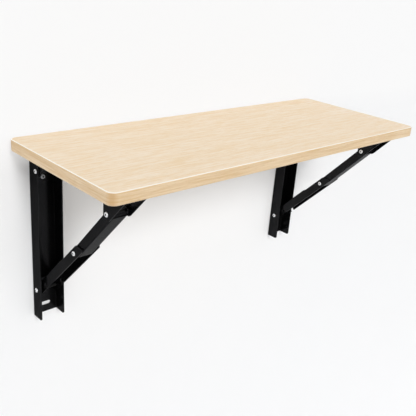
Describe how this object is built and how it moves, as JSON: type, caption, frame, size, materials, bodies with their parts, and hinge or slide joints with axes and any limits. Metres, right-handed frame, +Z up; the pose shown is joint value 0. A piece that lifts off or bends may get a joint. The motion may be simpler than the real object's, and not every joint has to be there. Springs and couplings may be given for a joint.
{
  "type": "wall mounted drop leaf table",
  "caption": "Rectangular wood-look leaf on folding black steel wall brackets; the jointed braces lock it level and fold flat so that the leaf hangs down the wall.",
  "frame": {"origin": "On the wall plane, midway between the two upper wall screws.", "axes": "+X along the table to the right for someone facing the wall, +Y into the wall, +Z up; the leaf stands out towards -Y."},
  "size_m": [0.78, 0.334, 0.353],
  "materials": {
    "maple_laminate": "satin maple laminate",
    "edge_band": "satin maple edge band",
    "core_board": "raw fibreboard",
    "black_powder_coat": "satin black powder coat on sheet steel",
    "zinc_steel": "bright zinc plate",
    "black_nylon": "moulded black nylon"
  },
  "bodies": {
    "wall_frame": {"wall_channel_left": "black_powder_coat", "wall_screw_left": "zinc_steel", "hinge_rivet_left": "zinc_steel", "hinge_washers_left": "black_nylon", "foot_rivet_left": "zinc_steel", "foot_spacers_left": "black_nylon", "wall_channel_right": "black_powder_coat", "wall_screw_right": "zinc_steel", "hinge_rivet_right": "zinc_steel", "hinge_washers_right": "black_nylon", "foot_rivet_right": "zinc_steel", "foot_spacers_right": "black_nylon"},
    "leaf": {"leaf_core": "core_board", "top_laminate": "maple_laminate", "bottom_laminate": "maple_laminate", "edge_band": "edge_band", "table_arm_left": "black_powder_coat", "arm_screws_left": "zinc_steel", "ear_rivet_left": "zinc_steel", "ear_spacers_left": "black_nylon", "table_arm_right": "black_powder_coat", "arm_screws_right": "zinc_steel", "ear_rivet_right": "zinc_steel", "ear_spacers_right": "black_nylon"},
    "lower_link_left": {"lower_link_left": "black_powder_coat", "knee_rivets_left": "zinc_steel"},
    "upper_link_left": {"upper_link_left": "black_powder_coat"},
    "lower_link_right": {"lower_link_right": "black_powder_coat", "knee_rivets_right": "zinc_steel"},
    "upper_link_right": {"upper_link_right": "black_powder_coat"}
  },
  "joints": [
    {"name": "table_fold", "type": "hinge", "parent": "wall_frame", "child": "leaf", "pos_m": [0, -0.024, 0.02], "axis": [1, 0, 0], "range_deg": [0, 90]},
    {"name": "foot_pivot_left", "type": "hinge", "parent": "wall_frame", "child": "lower_link_left", "pos_m": [-0.33, -0.014, -0.216], "axis": [1, 0, 0], "range_deg": [-44.18, 0]},
    {"name": "ear_pivot_left", "type": "hinge", "parent": "leaf", "child": "upper_link_left", "pos_m": [-0.33, -0.232, 0.014], "axis": [1, 0, 0], "range_deg": [0, 45.79]},
    {"name": "foot_pivot_right", "type": "hinge", "parent": "wall_frame", "child": "lower_link_right", "pos_m": [0.33, -0.014, -0.216], "axis": [1, 0, 0], "range_deg": [-44.18, 0]},
    {"name": "ear_pivot_right", "type": "hinge", "parent": "leaf", "child": "upper_link_right", "pos_m": [0.33, -0.232, 0.014], "axis": [1, 0, 0], "range_deg": [0, 45.79]}
  ],
  "couplings": [
    {"joint": "foot_pivot_left", "follows": "table_fold", "ratio": -0.49034},
    {"joint": "ear_pivot_left", "follows": "table_fold", "ratio": 0.50823},
    {"joint": "foot_pivot_right", "follows": "table_fold", "ratio": -0.49034},
    {"joint": "ear_pivot_right", "follows": "table_fold", "ratio": 0.50823}
  ]
}
